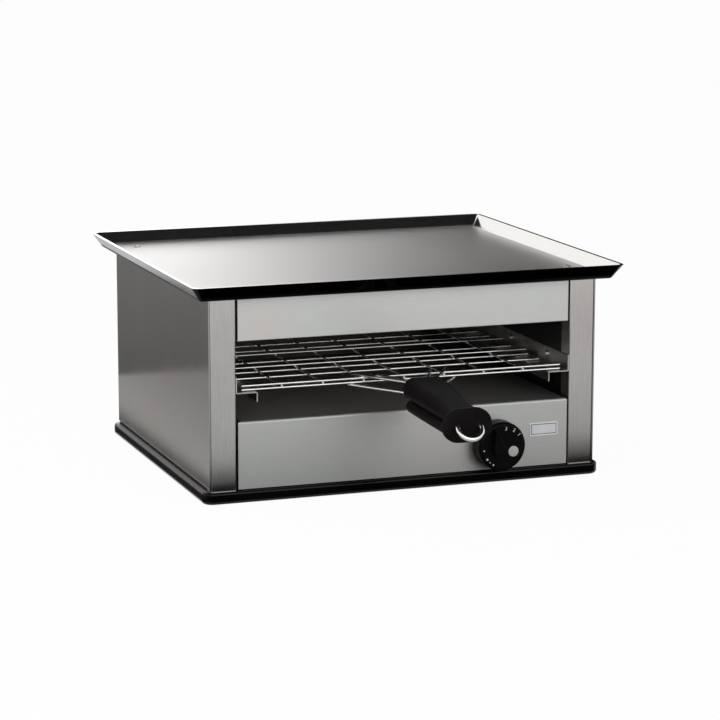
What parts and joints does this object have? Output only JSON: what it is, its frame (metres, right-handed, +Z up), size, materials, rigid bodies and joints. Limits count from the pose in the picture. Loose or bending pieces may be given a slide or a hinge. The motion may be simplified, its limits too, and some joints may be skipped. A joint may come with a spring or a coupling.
{
  "type": "gas toaster with griddle",
  "caption": "Table-top gas toaster with a flared griddle plate on top, an open toasting space with a pull-out wire rack, and a gas knob on the lower front.",
  "frame": {"origin": "centre of the base tray's underside, on the counter", "axes": "+Z up, -Y the open front with the rack's grip, +X to the viewer's right at the front"},
  "size_m": [0.4988, 0.6053, 0.2409],
  "materials": {
    "base_black": "gloss black enamel",
    "griddle_steel": "polished flat",
    "body_steel": "satin",
    "front_steel": "satin",
    "housing_steel": "satin, reflective",
    "inner_steel": "dull, heat stained",
    "rail_steel": "bright",
    "rack_wire": "bright plated wire",
    "burner_steel": "dull, heat stained",
    "burner_tile": "porous ceramic look",
    "grip_black": "moulded, semi gloss",
    "knob_black": "moulded, semi gloss",
    "knob_dot": "light grey",
    "valve_brass": "machined",
    "gas_pipe": "drawn copper",
    "zinc_steel": "zinc plated",
    "spring_steel": "oiled wire",
    "plate_silver": "satin foil"
  },
  "bodies": {
    "body": {"base_tray": "base_black", "base_screws": "zinc_steel", "side_panel_left": "body_steel", "side_panel_right": "body_steel", "back_panel": "body_steel", "back_panel_screws": "zinc_steel", "griddle_plate": "griddle_steel", "griddle_screws": "zinc_steel", "griddle_nuts": "zinc_steel", "front_post_left": "front_steel", "front_post_right": "front_steel", "upper_fascia": "front_steel", "lower_housing": "housing_steel", "panel_screws": "zinc_steel", "panel_washers": "zinc_steel", "panel_nuts": "zinc_steel", "blank_plate": "plate_silver", "side_liner_left": "inner_steel", "side_liner_right": "inner_steel", "cavity_back_wall": "inner_steel", "rail_left": "rail_steel", "rail_right": "rail_steel", "rail_screws": "zinc_steel", "burner_box": "burner_steel", "burner_tiles": "burner_tile", "tile_frame": "burner_steel", "burner_hanger_left": "burner_steel", "burner_hanger_right": "burner_steel", "hanger_screws": "zinc_steel", "mixing_tube": "burner_steel", "injector": "valve_brass", "injector_bracket": "inner_steel", "flame_probe": "gas_pipe", "supply_pipe": "gas_pipe", "inlet_pipe": "gas_pipe", "pipe_nuts": "valve_brass", "inlet_connector": "valve_brass", "inlet_lock_nut": "valve_brass", "valve_body": "valve_brass", "valve_bonnet": "valve_brass", "valve_bracket": "inner_steel", "valve_screws": "zinc_steel", "valve_spring": "spring_steel"},
    "rack": {"toast_rack": "rack_wire", "handle_wire_upper_outer_right": "rack_wire", "handle_wire_upper_outer_left": "rack_wire", "handle_wire_upper_inner_right": "rack_wire", "handle_wire_upper_inner_left": "rack_wire", "handle_wire_lower_right": "rack_wire", "handle_wire_lower_left": "rack_wire", "handle_loop": "rack_wire", "grip_upper": "grip_black", "grip_lower": "grip_black", "grip_screws": "zinc_steel"},
    "push": {"spring_seat": "valve_brass"},
    "knob": {"control_knob": "knob_black", "knob_dot": "knob_dot", "valve_spindle": "zinc_steel"}
  },
  "joints": [
    {"name": "rack_slide", "type": "slide", "parent": "body", "child": "rack", "axis": [0, -1, 0], "range_m": [0, 0.25]},
    {"name": "knob_push", "type": "slide", "parent": "body", "child": "push", "axis": [0, 1, 0], "range_m": [0, 0.0025], "stiffness_N_per_m": 800, "springref_m": -0.005},
    {"name": "knob_turn", "type": "hinge", "parent": "push", "child": "knob", "pos_m": [0.1067, -0.2, 0.044], "axis": [0, -1, 0], "range_deg": [0, 210]}
  ]
}
